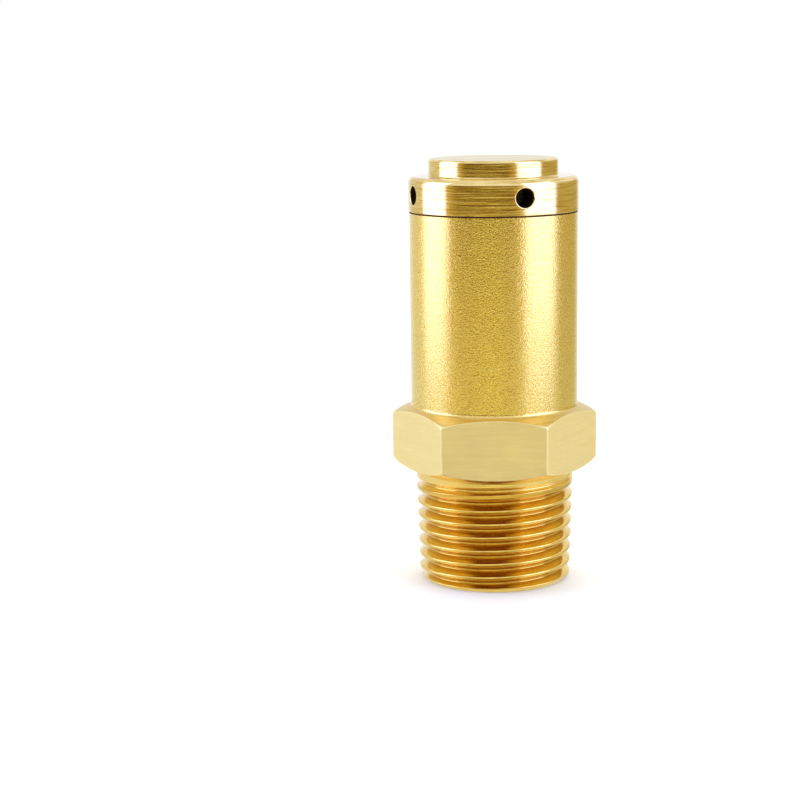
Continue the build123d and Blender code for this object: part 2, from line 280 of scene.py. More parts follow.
def brass_milled():
    m, nt, b = material("brass_milled")
    v, x, y, z, r = coords(nt)
    b.inputs["Metallic"].default_value = 0.55
    drift = noise(nt, v, 0.5, 2.0, 0.5)
    lines = combine(nt, math_node(nt, "MULTIPLY_ADD", x, 0.05, 0.37), math_node(nt, "MULTIPLY_ADD", y, 0.05, 0.71), math_node(nt, "ADD", z, math_node(nt, "MULTIPLY", drift, 0.25)))
    fine = noise(nt, lines, 5.0, 2.0, 0.6)
    band = noise(nt, lines, 1.3, 1.0, 0.5)
    patch = noise(nt, v, 0.30, 3.0, 0.6)
    col = ramp(nt, fine, [(0.30, (0.835, 0.68, 0.285)), (0.65, (0.885, 0.74, 0.335))])
    col = mix_rgb(nt, map_range(nt, patch, 0.35, 0.7, 0.0, 0.5), col, (0.83, 0.68, 0.29))
    col = mix_rgb(nt, map_range(nt, band, 0.40, 0.70, 0.0, 0.30), col, (0.79, 0.63, 0.25))
    edge = attribute(nt, "edge")
    col = mix_rgb(nt, math_node(nt, "MULTIPLY", edge, 0.28), col, (1.0, 0.88, 0.50))
    nt.links.new(col, b.inputs["Base Color"])
    nt.links.new(map_range(nt, patch, 0.3, 0.7, 0.28, 0.42), b.inputs["Roughness"])
    bump(nt, b, fine, 0.25, 0.008)
    return m


def brass_cone(name, low, high, rough):
    m, nt, b = material(name)
    v, x, y, z, r = coords(nt)
    b.inputs["Metallic"].default_value = 1.0
    fine = noise(nt, lathe_lines(nt, x, y, z, r, 0.08), 4.0, 3.0, 0.6)
    nt.links.new(ramp(nt, fine, [(0.30, low), (0.65, high)]), b.inputs["Base Color"])
    nt.links.new(map_range(nt, fine, 0.3, 0.7, rough[0], rough[1]), b.inputs["Roughness"])
    bump(nt, b, fine, 0.5, 0.012)
    return m


def brass_thread():
    m, nt, b = material("brass_thread")
    v, x, y, z, r = coords(nt)
    b.inputs["Metallic"].default_value = 1.0
    lines = lathe_lines(nt, x, y, z, r, 0.08)
    fine = noise(nt, lines, 6.0, 3.0, 0.65)
    patch = noise(nt, v, 0.6, 3.0, 0.6)
    col = ramp(nt, fine, [(0.30, (0.82, 0.54, 0.12)), (0.65, (0.92, 0.70, 0.23))])
    # painted shade: the deep groove roots and the top land under the collar are tinted dark red-brown
    root = attribute(nt, "root")
    col = mix_rgb(nt, math_node(nt, "MULTIPLY", root, 0.5), col, (0.60, 0.30, 0.045))
    col = mix_rgb(nt, map_range(nt, patch, 0.45, 0.75, 0.0, 0.35), col, (0.66, 0.36, 0.06))
    edge = attribute(nt, "edge")
    col = mix_rgb(nt, math_node(nt, "MULTIPLY", edge, 0.35), col, (1.0, 0.80, 0.34))
    nt.links.new(col, b.inputs["Base Color"])
    nt.links.new(map_range(nt, fine, 0.3, 0.7, 0.09, 0.18), b.inputs["Roughness"])
    bump(nt, b, fine, 0.45, 0.008)
    return m


# Dark matt brass that stands in for shade: painted shade for the cap's inside and the seam between body and cap.
def brass_painted_shade(name="brass_bore", base=(0.40, 0.26, 0.08), dark=(0.20, 0.12, 0.04), rough=0.5):
    m, nt, b = material(name)
    v, x, y, z, r = coords(nt)
    b.inputs["Metallic"].default_value = 0.0
    f = noise(nt, combine(nt, r, math_node(nt, "MULTIPLY", x, 0.1), z), 3.0, 3.0, 0.6)
    nt.links.new(ramp(nt, f, [(0.3, dark), (0.7, base)]), b.inputs["Base Color"])
    b.inputs["Roughness"].default_value = rough
    b.inputs["Specular IOR Level"].default_value = 0.08
    bump(nt, b, f, 0.4, 0.02)
    return m


def black_plastic():
    """Moulded acetal: fine grain and faint flow marks."""
    m, nt, b = material("black_plastic_moulded")
    v, x, y, z, r = coords(nt)
    grain = noise(nt, v, 5.5, 3.0, 0.6)
    flow = noise(nt, combine(nt, math_node(nt, "MULTIPLY", x, 0.5), math_node(nt, "MULTIPLY", y, 0.5), math_node(nt, "MULTIPLY", z, 0.2)), 0.7, 3.0, 0.6, 0.8)
    col = ramp(nt, flow, [(0.30, (0.027, 0.028, 0.031)), (0.70, (0.046, 0.047, 0.052))])
    nt.links.new(mix_rgb(nt, map_range(nt, grain, 0.40, 0.72, 0.0, 0.5), col, (0.062, 0.063, 0.068)), b.inputs["Base Color"])
    nt.links.new(map_range(nt, grain, 0.3, 0.7, 0.40, 0.56), b.inputs["Roughness"])
    n1 = bump(nt, b, grain, 0.5, 0.012)
    bump(nt, b, flow, 0.3, 0.02, n1)
    return m


def seal_rubber():
    """Moulded EPDM: matt, with random patches of dusty bloom."""
    m, nt, b = material("seal_rubber_moulded")
    v, x, y, z, r = coords(nt)
    grain = noise(nt, v, 9.0, 4.0, 0.65)
    bloom = noise(nt, v, 1.1, 3.0, 0.6)
    col = ramp(nt, grain, [(0.30, (0.016, 0.016, 0.017)), (0.70, (0.030, 0.030, 0.032))])
    nt.links.new(mix_rgb(nt, map_range(nt, bloom, 0.45, 0.75, 0.0, 0.4), col, (0.070, 0.070, 0.068)), b.inputs["Base Color"])
    nt.links.new(map_range(nt, bloom, 0.3, 0.7, 0.52, 0.72), b.inputs["Roughness"])
    b.inputs["Specular IOR Level"].default_value = 0.35
    bump(nt, b, grain, 0.55, 0.010)
    return m


def stainless(name, along, light=(0.68, 0.68, 0.66), dark=(0.50, 0.50, 0.485), rough=(0.20, 0.36), scale=7.0, depth=0.006):
    """Stainless steel with the fine scratches of rolling or drawing along one direction; along is the stretch of x, y and z."""
    m, nt, b = material(name)
    v, x, y, z, r = coords(nt)
    b.inputs["Metallic"].default_value = 1.0
    stretched = combine(nt, math_node(nt, "MULTIPLY", x, along[0]), math_node(nt, "MULTIPLY", y, along[1]), math_node(nt, "MULTIPLY", z, along[2]))
    fine = noise(nt, stretched, scale, 4.0, 0.65)
    patch = noise(nt, v, 0.8, 3.0, 0.6)
    col = ramp(nt, fine, [(0.32, dark), (0.68, light)])
    nt.links.new(mix_rgb(nt, map_range(nt, patch, 0.45, 0.75, 0.0, 0.35), col, (0.56, 0.54, 0.50)), b.inputs["Base Color"])
    nt.links.new(map_range(nt, fine, 0.3, 0.7, rough[0], rough[1]), b.inputs["Roughness"])
    bump(nt, b, fine, 0.45, depth)
    return m


def float_plastic():
    """Natural polypropylene: milky, slightly waxy, with weld and flow marks."""
    m, nt, b = material("float_plastic_moulded")
    v, x, y, z, r = coords(nt)
    flow = noise(nt, combine(nt, x, y, math_node(nt, "MULTIPLY", z, 0.25)), 0.55, 4.0, 0.6, 1.2)
    grain = noise(nt, v, 4.5, 2.0, 0.5)
    col = ramp(nt, flow, [(0.28, (0.78, 0.755, 0.665)), (0.72, (0.88, 0.865, 0.80))])
    nt.links.new(mix_rgb(nt, map_range(nt, grain, 0.45, 0.75, 0.0, 0.25), col, (0.72, 0.69, 0.60)), b.inputs["Base Color"])
    nt.links.new(map_range(nt, flow, 0.3, 0.7, 0.32, 0.48), b.inputs["Roughness"])
    b.inputs["Subsurface Weight"].default_value = 0.12
    b.inputs["Subsurface Radius"].default_value = (0.0012, 0.0010, 0.0008)
    b.inputs["Subsurface Scale"].default_value = 1.0
    n1 = bump(nt, b, grain, 0.35, 0.010)
    bump(nt, b, flow, 0.3, 0.03, n1)
    return m


def cellulose():
    """Pressed paper fibre: crossed fibres of several lengths, darker specks, a rough face."""
    m, nt, b = material("cellulose_pressed")
    v, x, y, z, r = coords(nt)
    one = noise(nt, combine(nt, math_node(nt, "MULTIPLY", x, 0.25), math_node(nt, "MULTIPLY", y, 2.2), z), 1.8, 4.0, 0.65, 1.6)
    two = noise(nt, combine(nt, math_node(nt, "MULTIPLY", x, 2.2), math_node(nt, "MULTIPLY", y, 0.25), z), 1.8, 4.0, 0.65, 1.6)
    speck = noise(nt, v, 5.0, 2.0, 0.5)
    fibre = math_node(nt, "MULTIPLY", math_node(nt, "ADD", one, two), 0.5)
    col = ramp(nt, fibre, [(0.36, (0.47, 0.36, 0.235)), (0.50, (0.62, 0.50, 0.36)), (0.64, (0.76, 0.65, 0.50))])
    nt.links.new(mix_rgb(nt, map_range(nt, speck, 0.60, 0.78, 0.0, 0.7), col, (0.33, 0.23, 0.13)), b.inputs["Base Color"])
    nt.links.new(map_range(nt, fibre, 0.35, 0.65, 0.95, 0.80), b.inputs["Roughness"])
    b.inputs["Specular IOR Level"].default_value = 0.2
    n1 = bump(nt, b, fibre, 0.8, 0.06)
    bump(nt, b, speck, 0.4, 0.02, n1)
    return m


BLASTED = brass_blasted()
CAP = brass_turned("brass_cap_turned", (0.98, 0.82, 0.42), (0.68, 0.48, 0.16), rough=(0.08, 0.17), scale=8.0, across=0.028, depth=0.013, contrast=(0.34, 0.60))
# painted light: a paler, whiter copy of the cap brass for the top face
TOP = brass_turned("brass_cap_top_painted_light", (0.88, 0.79, 0.55), (0.80, 0.68, 0.42), rough=(0.26, 0.38), scale=2.6, across=0.06, depth=0.008)
# painted shade: a darker copy of the brass for the cone above the hexagon and its join to the barrel
CONE_PAINTED_SHADE = brass_cone("brass_cone", (0.68, 0.50, 0.16), (0.80, 0.62, 0.24), (0.26, 0.38))
# painted light: a brighter, paler copy of the thread brass for the neck and collar under the hexagon
COLLAR_PAINTED_LIGHT = brass_cone("brass_collar_painted_light", (0.95, 0.71, 0.25), (1.0, 0.78, 0.35), (0.19, 0.28))
MILLED = brass_milled()
THREAD = brass_thread()
BORE = brass_turned("brass_bore", (0.86, 0.58, 0.16), (0.66, 0.40, 0.08), rough=(0.22, 0.36), scale=3.0, across=0.05)
# painted shade: near-black brass for the inside of the cap and the bores of the vent holes
CAVITY = brass_painted_shade("brass_cap_cavity_painted_shade", (0.030, 0.016, 0.006), (0.012, 0.007, 0.003), 0.8)
# painted shade: dark brown for the seam between body and cap
SHADOW = brass_painted_shade("brass_seam_painted_shade", (0.120, 0.052, 0.014), (0.050, 0.020, 0.006), 0.7)


PLASTIC = black_plastic()
RUBBER = seal_rubber()
FLOAT = float_plastic()
FIBRE = cellulose()
JET = brass_turned("brass_jet_turned", (0.95, 0.80, 0.42), (0.66, 0.46, 0.15), rough=(0.14, 0.24), scale=5.0, across=0.06, depth=0.008)
STAMPED = stainless("stainless_rolled", (0.08, 1.6, 1.6))
TURNED = stainless("stainless_turned", (0.25, 0.25, 2.2), rough=(0.14, 0.26))
DRAWN = stainless("stainless_wire", (0.8, 0.8, 0.8), scale=6.0, rough=(0.16, 0.30))
SIEVE = stainless("stainless_sieve", (0.10, 1.5, 1.5), light=(0.72, 0.72, 0.70), rough=(0.24, 0.40))

# the parts inside keep their CAD shape and get a finish
FINISH = {
    "seat_carrier": PLASTIC, "carrier_o_ring": RUBBER, "jet_o_ring": RUBBER, "plug_pad": RUBBER, "orifice_jet": JET,
    "valve_plug": TURNED, "stem_clip": STAMPED, "lever": STAMPED, "lever_pivot_pin": DRAWN, "float_cup": FLOAT, "float_lid": FLOAT,
    "float_hanger": DRAWN, "strainer_disc": SIEVE, "strainer_snap_ring": STAMPED, "closing_spring": DRAWN,
    "hygroscopic_disc_1": FIBRE, "hygroscopic_disc_2": FIBRE, "hygroscopic_disc_3": FIBRE, "hygroscopic_disc_4": FIBRE,
    "valve_body": BLASTED, "vent_cap": CAP,
}
for node, finish in FINISH.items():
    data = NODES[node].data
    if len(data.materials) == 0:
        data.materials.append(finish)
    for i in range(len(data.materials)):
        data.materials[i] = finish


# ------------------------------------------------------------------ valve body
def crest_r(z):
    return GAUGE_R + (z - GAUGE_Z) * TAPER


def groove_table():
    """Depth of the groove against the distance from its centre, rounded at crest and root, over one pitch."""
    t = np.linspace(-PITCH / 2, PITCH / 2, 1601)[:-1]
    outer = ROOT_HALF + THREAD_DEPTH * FLANK_TAN
    d = THREAD_DEPTH * np.clip((outer - np.abs(t)) / (outer - ROOT_HALF), 0, 1)
    step = PITCH / 1600
    half = int(round(0.11 / step))
    k = np.cos(np.linspace(-math.pi / 2, math.pi / 2, 2 * half + 1)) ** 2
    k /= k.sum()
    d = np.real(np.fft.ifft(np.fft.fft(d) * np.fft.fft(np.roll(np.pad(k, (0, 1600 - len(k))), -half))))
    return t, d


GROOVE_T, GROOVE_D = groove_table()


def groove_depth(z, theta):
    """Depth of the thread's groove at height z and angle theta in radians."""
    phase = THREAD_START + PITCH * theta / (2 * math.pi)
    t = (z - phase + PITCH / 2) % PITCH - PITCH / 2
    centre = z - t
    d = np.interp(t, GROOVE_T, GROOVE_D, period=PITCH)
    d = d - RUN_OUT[1] * np.clip((centre - THREAD_END) / RUN_OUT[0], 0, 1)
    d = np.where(d > 0, d, 0)
    fade = np.clip((14.62 - z) / 0.40, 0, 1)
    return d * fade * fade * (3 - 2 * fade)


def smooth_min(a, b, k):
    h = np.clip(0.5 + 0.5 * (b - a) / k, 0, 1)
    return b * (1 - h) + a * h - k * h * (1 - h)


def hex_r(theta):
    d = np.abs((np.degrees(theta) + 30) % 60 - 30)          # from the nearest corner
    c = (HEX_AF / 2 - HEX_CORNER_R) / math.cos(math.radians(30))
    dr = np.radians(d)
    flat = HEX_AF / 2 / np.cos(np.radians(30 - d))
    inside = np.clip(HEX_CORNER_R ** 2 - (c * np.sin(dr)) ** 2, 0, None)
    corner = c * np.cos(dr) + np.sqrt(inside)
    limit = math.degrees(math.atan2(HEX_CORNER_R * 0.5, c + HEX_CORNER_R * math.cos(math.radians(30))))
    return np.where(d <= limit, corner, flat)


def body_columns():
    out = []
    for k in range(6):
        c = 60.0 * k
        out += [c, c + 0.25, c + 0.5, c + 0.7413, c + 0.95]
        out += list(c + 0.95 + (58.1 / 28) * np.arange(1, 28))
        out += [c + 59.05, c + 59.2587, c + 59.5, c + 59.75]
    return np.radians(np.array(out))


def valve_body():
    th = body_columns()
    n = len(th)
    one = np.ones(n)
    rows, mat, edge, root = [], [], [], []

    def put(r, z, m, e=0.0, ro=0.0):
        rows.append((r * one, z * one))
        mat.append(m)
        edge.append(e * one)
        root.append(ro * one)

    # 0 thread, 1 milled, 2 blasted, 3 bore, 4 dark seam (painted shade), 5 darker cone copy (painted shade), 6 brighter
    # collar copy (painted light)
    def thread_row(z, z_shift=0.0):
        d = groove_depth(z, th)
        r = crest_r(z) - d
        tip = TIP_R + (z + 0.0) * 0.995
        r = smooth_min(r, tip * one, 0.05) if z < 1.3 else r
        crest = np.clip(1 - d / 0.05, 0, 1) * (1.0 if z > 0.75 else 0.3)
        # the land band and the deep groove roots go into the 'root' attribute, which darkens them: painted shade
        land = np.exp(-((z - 13.15) / 0.45) ** 2) * np.clip(1 - d / 0.3, 0, 1)
        # rows above z 13.75 take the brighter collar copy: painted light
        put(r, z, 6 if z > 13.75 else 0, crest * (1 - land), np.maximum(np.clip((d - 0.55) / 0.5, 0, 1), land))

    # end face, from the bore outwards
    face_r = smooth_min(crest_r(0.0) - groove_depth(np.zeros(n), th), TIP_R * one, 0.05)
    put(BORE_R + 0.25, 0.0, 0)
    put(BORE_R + 0.29, 0.0, 0)
    put(0.5 * (BORE_R + 0.25) + 0.5 * face_r, 0.0, 0)
    put(face_r - 0.07, 0.0, 0, 0.5)
    put(face_r - 0.035, 0.004, 0, 0.8)
    z_top_thread = 14.91
    for z in np.linspace(0.03, z_top_thread, 298):
        thread_row(z)
    hr = hex_r(th)
    neck_z = Z_HEX_LOW - (HEX_AF / 2 - NECK_R) * CONE
    p_neck0 = (NECK_R * one, (neck_z - 1) * one)
    p_neck = (NECK_R * one, neck_z * one)
    p_low = (hr, neck_z + (hr - NECK_R) * CONE)
    p_high = (hr, Z_BARREL - (hr - BARREL_R) * CONE)
    p_jn = (BARREL_R * one, Z_BARREL * one)
    p_up = (BARREL_R * one, (Z_BARREL + 5) * one)
    for r, z in fillet_rows(p_neck0, p_neck, p_low, 0.16, 4):
        put(r - groove_depth(z, th), z, 6)
    near = np.abs((np.degrees(th) + 30) % 60 - 30)
    edge_r = 0.12 + 0.50 * np.exp(-(near / 3.5) ** 2)
    low_edge = fillet_rows(p_neck, p_low, p_high, edge_r, 5)
    r0, z0 = rows[-1]
    r1, z1 = low_edge[0]
    for w in (0.06, 0.5, 0.94):
        put(r0 + (r1 - r0) * w, z0 + (z1 - z0) * w, 6)
    flank = 1.0 * (np.abs((np.degrees(th) + 30) % 60 - 30) < 0.9)
    for i, (r, z) in enumerate(low_edge):
        put(r, z, 6 if i < 3 else 1, 1.0)
    high_edge = fillet_rows(p_low, p_high, p_jn, edge_r, 5)
    r0, z0 = rows[-1]
    r1, z1 = high_edge[0]
    for w in (0.008, 0.1, 0.3, 0.5, 0.7, 0.9, 0.992):
        put(r0 + (r1 - r0) * w, z0 + (z1 - z0) * w, 1, flank)
    for i, (r, z) in enumerate(high_edge):
        put(r, z, 1 if i < 3 else 5, 1.0)
    join = fillet_rows(p_high, p_jn, p_up, 0.50, 7)
    r0, z0 = rows[-1]
    r1, z1 = join[0]
    for w in (0.1, 0.5, 0.9):
        put(r0 + (r1 - r0) * w, z0 + (z1 - z0) * w, 5)
    for i, (r, z) in enumerate(join):
        put(r, z, 5 if i < 4 else 2)
    for z in (24.36, 25, 28, 31, 34, 37, 40, 43, 46, 48.5, 49.6, 49.80):
        put(BARREL_R, z, 2)
    # painted shade: the inner part of the rim's rounded edge and the seat under the cap take the dark seam colour
    for i, (r, z) in enumerate(arc(BARREL_R - 0.14, Z_SEAM - 0.14, 0.14, 0, 90, 6)[:-1]):
        put(r, z, 2 if i < 1 else 4)
    put(BARREL_R - 0.14, Z_SEAM, 4)
    put(CAP_THREAD_R + 0.34, Z_SEAM, 4)
    put(CAP_THREAD_R + 0.30, Z_SEAM, 3)
    put(CAP_THREAD_R, Z_SEAM - 0.3, 3)
    put(CAP_THREAD_R, Z_SEAM - 0.35, 3)
    for z in (48, 46, Z_CARRIER + 0.03, Z_CARRIER):
        put(CAP_THREAD_R, z, 3)
    put(CAP_THREAD_R - 0.03, Z_CARRIER, 3)
    put(CHAMBER_R + 0.28, Z_CARRIER, 3)
    put(CHAMBER_R + 0.25, Z_CARRIER - 0.0, 3)
    put(CHAMBER_R, Z_CARRIER - 0.25, 3)
    for z in (43.6, 40, 35, 30, 25, 20, RING_GROOVE[1] + 0.03, RING_GROOVE[1]):
        put(CHAMBER_R, z, 3)
    for r, z in ((RING_GROOVE_R - 0.03, RING_GROOVE[1]), (RING_GROOVE_R, RING_GROOVE[1]), (RING_GROOVE_R, RING_GROOVE[1] - 0.03), (RING_GROOVE_R, RING_GROOVE[0] + 0.03),
                 (RING_GROOVE_R, RING_GROOVE[0]), (RING_GROOVE_R - 0.03, RING_GROOVE[0]), (CHAMBER_R, RING_GROOVE[0]), (CHAMBER_R, RING_GROOVE[0] - 0.03),
                 (CHAMBER_R, Z_LEDGE + 0.03), (CHAMBER_R, Z_LEDGE), (CHAMBER_R - 0.03, Z_LEDGE), (BORE_R + 0.06, Z_LEDGE), (BORE_R + 0.02, Z_LEDGE - 0.02),
                 (BORE_R, Z_LEDGE - 0.06), (BORE_R, 14), (BORE_R, 11), (BORE_R, 8), (BORE_R, 5), (BORE_R, 2), (BORE_R, 0.45), (BORE_R, 0.29), (BORE_R + 0.02, 0.23), (BORE_R + 0.23, 0.02)):
        put(r, z, 3)
    R = len(rows)
    verts = np.zeros((R, n, 3))
    for i, (r, z) in enumerate(rows):
        verts[i, :, 0] = r * np.cos(th)
        verts[i, :, 1] = r * np.sin(th)
        verts[i, :, 2] = z
    faces = np.concatenate([ring_quads(i * n, ((i + 1) % R) * n, n) for i in range(R)])
    face_mat = np.concatenate([np.full(n, max(mat[i], mat[(i + 1) % R]) if mat[(i + 1) % R] in (3, 4) and mat[i] < 5 else mat[i]) for i in range(R)])
    print("valve_body quads", len(faces), "rows", R, "columns", n)
    obj = build("valve_body_finished", verts.reshape(-1, 3), faces, [THREAD, MILLED, BLASTED, BORE, SHADOW, CONE_PAINTED_SHADE, COLLAR_PAINTED_LIGHT], face_mat,
                {"edge": np.concatenate(edge), "root": np.concatenate(root)})
    return obj


# ------------------------------------------------------------------ vent cap
def vent_cap():
    """Turned cap with four radial holes: a grid round the axis, with a square of the wall opened into rings round each hole."""
    N = 16
    half_a = 12.0
    gap = 360.0 / VENT_COUNT - 2 * half_a
    M = 28
    th = []
    for k in range(VENT_COUNT):
        c = VENT_START + 360.0 * k / VENT_COUNT
        th += list(c - half_a + 2 * half_a / N * np.arange(N))
        th += list(c + half_a + gap / M * np.arange(M))
    th = np.radians(np.array(th))
    n = len(th)
    step = N + M
    # outline from the axis on top, outside and down, under the spigot and back up inside to the axis
    hole_rows_out = list(np.linspace(53.82, 50.72, N + 1))
    hole_rows_in = list(np.linspace(50.85, 53.68, N + 1))
    prof = [(0.0, Z_TOP, 1), (0.6, Z_TOP, 1), (2.0, Z_TOP, 1), (4.0, Z_TOP, 1), (6.0, Z_TOP, 1), (7.6, Z_TOP, 1), (BOSS_R - BOSS_EDGE_R - 0.05, Z_TOP, 1)]
    prof += [(r, z, 0) for r, z in arc(BOSS_R - BOSS_EDGE_R, Z_TOP - BOSS_EDGE_R, BOSS_EDGE_R, 90, 0, 8)]
    prof += [(BOSS_R, z, 0) for z in (56.6, 56.2, 55.7, 55.2, 54.96)]
    prof += [(r, z, 0) for r, z in arc(BOSS_R + 0.2, Z_SHOULDER + 0.2, 0.2, 180, 270, 5)]
    prof += [(BOSS_R + 0.3, Z_SHOULDER, 0), (9.7, Z_SHOULDER, 0), (CAP_R - CAP_EDGE_R - 0.05, Z_SHOULDER, 0)]
    prof += [(r, z, 0) for r, z in arc(CAP_R - CAP_EDGE_R, Z_SHOULDER - CAP_EDGE_R, CAP_EDGE_R, 90, 0, 10)]
    out_first = len(prof)
    prof += [(CAP_R, z, 0) for z in hole_rows_out]
    out_last = len(prof) - 1
    prof += [(CAP_R, 50.4, 0), (CAP_R, 50.2, 0)]
    # painted shade: the inner part of the lower rounded edge and the seat take the dark seam colour
    prof += [(r, z, 0 if i < 2 else 3) for i, (r, z) in enumerate(arc(CAP_R - 0.14, Z_SEAM + 0.14, 0.14, 0, -90, 6)[:-1])]
    prof += [(CAP_R - 0.14, Z_SEAM, 3), (SPIGOT_R + 0.03, Z_SEAM, 2), (SPIGOT_R, Z_SEAM - 0.03, 2), (SPIGOT_R, 48.0, 2), (SPIGOT_R, Z_SPIGOT + 0.33, 2), (SPIGOT_R, Z_SPIGOT + 0.30, 2),
             (SPIGOT_R - 0.3, Z_SPIGOT, 2), (SPIGOT_R - 0.33, Z_SPIGOT, 2), (CAVITY_R + 0.03, Z_SPIGOT, 2), (CAVITY_R, Z_SPIGOT + 0.03, 2), (CAVITY_R, 48.0, 2), (CAVITY_R, 50.3, 2)]
    in_first = len(prof)
    prof += [(CAVITY_R, z, 2) for z in hole_rows_in]
    in_last = len(prof) - 1
    prof += [(CAVITY_R, 53.73, 2), (CAVITY_R - 0.03, 53.77, 2), (BOSS_CAVITY_R + 0.03, 54.58, 2), (BOSS_CAVITY_R, 54.63, 2), (BOSS_CAVITY_R, 55.37, 2), (BOSS_CAVITY_R - 0.03, 55.4, 2),
             (4.0, 55.4, 2), (0.8, 55.4, 2), (0.0, 55.4, 2)]
    R = len(prof)
    verts, faces, mats, edge = [], [], [], []

    def add(p, e=0.0):
        verts.append(p)
        edge.append(e)
        return len(verts) - 1

    top = add((0.0, 0.0, prof[0][1]))
    grid = np.zeros((R, n), int)
    for i in range(1, R - 1):
        r, z, m = prof[i]
        for j in range(n):
            grid[i, j] = add((r * math.cos(th[j]), r * math.sin(th[j]), z))
    bottom = add((0.0, 0.0, prof[-1][1]))
    for j in range(n):
        k = (j + 1) % n
        faces.append((top, grid[1, j], grid[1, k]))
        mats.append(1)
        faces.append((bottom, grid[R - 2, k], grid[R - 2, j]))
        mats.append(2)
    for i in range(1, R - 2):
        open_rows = out_first <= i < out_last or in_first <= i < in_last
        for j in range(n):
            if open_rows and j % step < N:
                continue
            k = (j + 1) % n
            faces.append((grid[i, j], grid[i + 1, j], grid[i + 1, k], grid[i, k]))
            mats.append(max(prof[i][2], prof[i + 1][2]) if prof[i][2] != 1 else 1)

    def loop(first, last, k, z_up):
        """Boundary of an opened square, anticlockwise seen from outside, starting at its lower left corner."""
        j0 = k * step
        cols = [(j0 + j) % n for j in range(N + 1)]
        lo, hi = (last, first) if z_up == "out" else (first, last)
        d = 1 if hi > lo else -1
        ring = [grid[lo, cols[j]] for j in range(N)]
        ring += [grid[lo + d * i, cols[N]] for i in range(N)]
        ring += [grid[hi, cols[N - j]] for j in range(N)]
        ring += [grid[hi - d * i, cols[0]] for i in range(N)]
        return ring

    rings_n = 5
    for k in range(VENT_COUNT):
        c = math.radians(VENT_START + 360.0 * k / VENT_COUNT)
        ex, ey = (math.cos(c), math.sin(c)), (-math.sin(c), math.cos(c))

        def local(i):
            p = verts[i]
            return p[0] * ey[0] + p[1] * ey[1], p[2] - VENT_Z

        def place(x, u, v, e=0.0):
            return add((x * ex[0] + u * ey[0], x * ex[1] + u * ey[1], v + VENT_Z), e)

        outer = loop(out_first, out_last, k, "out")
        inner = loop(in_first, in_last, k, "in")
        L = len(outer)
        ang = [math.atan2(local(i)[1], local(i)[0]) for i in outer]
        # even the spacing on the circle a little
        base = ang[0]
        seq = [base + ((a - base) % (2 * math.pi)) for a in ang]
        even = [base + 2 * math.pi * q / L for q in range(L)]
        ang = [0.35 * a + 0.65 * b for a, b in zip(seq, even)]
        chamfer = 0.13

        def rings_between(boundary, radius, R_cyl, count):
            made = [boundary]
            for q in range(1, count + 1):
                w = q / count
                w = 1 - (1 - w) ** 1.5
                row = []
                for s in range(L):
                    u0, v0 = local(boundary[s])
                    u1, v1 = radius * math.cos(ang[s]), radius * math.sin(ang[s])
                    u, v = u0 + (u1 - u0) * w, v0 + (v1 - v0) * w
                    row.append(place(math.sqrt(R_cyl ** 2 - u * u), u, v))
                made.append(row)
            return made

        out_rings = rings_between(outer, VENT_R + chamfer, CAP_R, rings_n)
        wall = []
        for a in (22.5, 45.0, 67.5, 90.0):
            rad = VENT_R + chamfer * (1 - math.sin(math.radians(a)))
            dep = chamfer * (1 - math.cos(math.radians(a)))
            wall.append([place(math.sqrt(CAP_R ** 2 - (rad * math.cos(t)) ** 2) - dep, rad * math.cos(t), rad * math.sin(t), 1.0) for t in ang])
        in_rings = rings_between(inner, VENT_R, CAVITY_R, 3)
        for w in (0.08, 0.35, 0.65):
            row = []
            for s, t in enumerate(ang):
                u, v = VENT_R * math.cos(t), VENT_R * math.sin(t)
                x0, x1 = math.sqrt(CAP_R ** 2 - u * u) - chamfer, math.sqrt(CAVITY_R ** 2 - u * u)
                row.append(place(x0 + (x1 - x0) * w, u, v))
            wall.append(row)
        chain = out_rings + wall + in_rings[::-1]
        # the hole bores and the cap's inside take the near-black material: painted shade
        kinds = [0] * rings_n + [0] * 4 + [2] * (len(chain) - rings_n - 4)
        for a, b, m in zip(chain[:-1], chain[1:], kinds):
            for s in range(L):
                q = (s + 1) % L
                faces.append((a[s], a[q], b[q], b[s]))
                mats.append(m)
    print("vent_cap faces", len(faces))
    return build("vent_cap_finished", verts, faces, [CAP, TOP, CAVITY, SHADOW], mats, {"edge": edge})


body = valve_body()
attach(body, "vent")
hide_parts("valve_body")
cap = vent_cap()
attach(cap, "vent")
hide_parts("vent_cap")



# ------------------------------------------------------------------ closing spring
def closing_spring():
    """Round wire wound on a helix, with its ends rounded over."""
    z0, z1, wire, coil, turns = 37.10, 38.70, 0.145, 1.30, 3.25
    rise = z1 - z0 - 0.30
    slope = rise / (turns * 2 * math.pi * coil)
    steps, sides = 196, 16
    length = turns * 2 * math.pi * coil
    stations = [(0.0, 0.35), (0.012, 0.72), (0.040, 0.94)] + [(0.09 + (length - 0.18) * i / steps, 1.0) for i in range(steps + 1)]
    stations += [(length - 0.040, 0.94), (length - 0.012, 0.72), (length, 0.35)]
    verts, faces = [], []
    for along, scale in stations:
        w = along / length
        a = 2 * math.pi * turns * w
        centre = Vector((coil * math.cos(a), coil * math.sin(a), z0 + 0.15 + rise * w))
        tangent = Vector((-math.sin(a), math.cos(a), slope)).normalized()
        out = Vector((math.cos(a), math.sin(a), 0.0))
        side = tangent.cross(out)
        for k in range(sides):
            t = 2 * math.pi * k / sides
            verts.append(tuple(centre + (out * math.cos(t) + side * math.sin(t)) * wire * scale))
    for i in range(len(stations) - 1):
        for k in range(sides):
            q = (k + 1) % sides
            faces.append((i * sides + k, i * sides + q, (i + 1) * sides + q, (i + 1) * sides + k))
    last = (len(stations) - 1) * sides
    faces.append(tuple(range(sides - 1, -1, -1)))
    faces.append(tuple(last + k for k in range(sides)))
    return build("closing_spring_wire", verts, faces, [DRAWN])


spring = closing_spring()
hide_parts("closing_spring")
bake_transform(spring)

